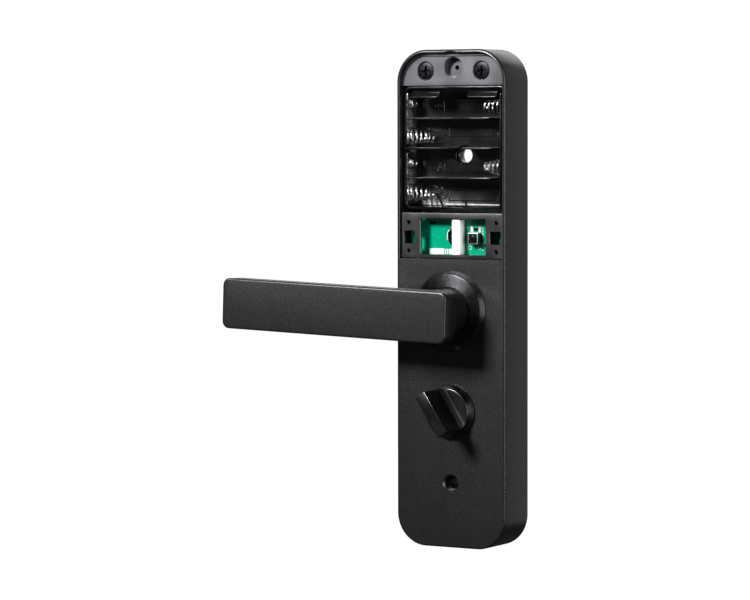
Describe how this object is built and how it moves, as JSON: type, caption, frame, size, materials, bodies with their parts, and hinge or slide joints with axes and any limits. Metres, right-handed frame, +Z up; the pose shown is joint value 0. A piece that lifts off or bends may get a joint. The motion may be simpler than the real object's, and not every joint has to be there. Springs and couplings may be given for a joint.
{
  "type": "keypad smart lock",
  "caption": "Inside unit of a keypad smart lock: tall black housing with an open battery bay and board window, a lever handle on a rosette and a thumbturn, on a square spindle.",
  "frame": {"origin": "on the door's face, on the axis of the lever and its spindle", "axes": "+Y goes into the door, +Z is up along the housing, +X is to the right seen from the room"},
  "size_m": [0.1566, 0.0957, 0.26],
  "materials": {
    "black_paint": "satin black powder coat on die-cast aluminium",
    "zinc_plated_steel": "zinc plated",
    "black_steel": "black oxide",
    "nickel_contacts": "bright nickel plate",
    "brass_insert": "machined",
    "black_plastic": "moulded, fine texture",
    "gasket_rubber": "matt foam rubber",
    "green_board": "green solder mask on glass-epoxy board",
    "white_nylon": "moulded",
    "acetal_bush": "moulded black acetal",
    "red_wire": "extruded PVC",
    "black_wire": "extruded PVC"
  },
  "bodies": {
    "root": {"housing": "black_paint", "back_plate": "zinc_plated_steel", "door_gasket": "gasket_rubber", "cable_grommet": "gasket_rubber", "back_plate_screw_1": "zinc_plated_steel", "back_plate_screw_2": "zinc_plated_steel", "back_plate_screw_3": "zinc_plated_steel", "back_plate_screw_4": "zinc_plated_steel", "shelf_screw_1": "black_steel", "shelf_screw_2": "black_steel", "cover_thread_insert": "brass_insert", "battery_tray": "black_plastic", "battery_spring_1": "nickel_contacts", "battery_spring_2": "nickel_contacts", "battery_spring_3": "nickel_contacts", "battery_spring_4": "nickel_contacts", "terminal_negative": "nickel_contacts", "bridge_rows_1_2": "nickel_contacts", "bridge_rows_2_3": "nickel_contacts", "bridge_rows_3_4": "nickel_contacts", "terminal_positive": "nickel_contacts", "battery_lead_red": "red_wire", "battery_lead_black": "black_wire", "board_bezel": "black_plastic", "control_board": "green_board", "board_screw_1": "zinc_plated_steel", "board_screw_2": "zinc_plated_steel", "cable_connector": "white_nylon", "jumper_block": "black_plastic", "reset_switch_body": "black_plastic", "reset_switch_cover": "zinc_plated_steel", "lever_rosette": "black_paint", "lever_bushing": "acetal_bush", "cassette_plate": "zinc_plated_steel", "cassette_screw_1": "zinc_plated_steel", "cassette_screw_2": "zinc_plated_steel", "cassette_screw_3": "zinc_plated_steel", "cassette_screw_4": "zinc_plated_steel", "thumbturn_bushing": "acetal_bush", "thumbturn_washer": "zinc_plated_steel"},
    "lever": {"lever_handle": "black_paint", "lever_grub_screw": "black_steel", "spindle": "zinc_plated_steel", "return_spring": "black_steel", "return_cam": "zinc_plated_steel", "lever_circlip": "black_steel"},
    "thumbturn": {"thumbturn_knob": "black_paint", "tailpiece": "zinc_plated_steel", "thumbturn_circlip": "black_steel"},
    "reset_button": {"reset_plunger": "black_plastic"}
  },
  "joints": [
    {"name": "lever_turn", "type": "hinge", "parent": "root", "child": "lever", "pos_m": [0, 0, 0], "axis": [0, -1, 0], "range_deg": [0, 45], "stiffness_Nm_per_rad": 1, "springref_deg": -28.65},
    {"name": "thumbturn_turn", "type": "hinge", "parent": "root", "child": "thumbturn", "pos_m": [0, 0, -0.0527], "axis": [0, -1, 0], "range_deg": [-33, 57]},
    {"name": "reset_press", "type": "slide", "parent": "root", "child": "reset_button", "axis": [0, 1, 0], "range_m": [0, 0.00025], "stiffness_N_per_m": 1500, "springref_m": -0.0007}
  ]
}
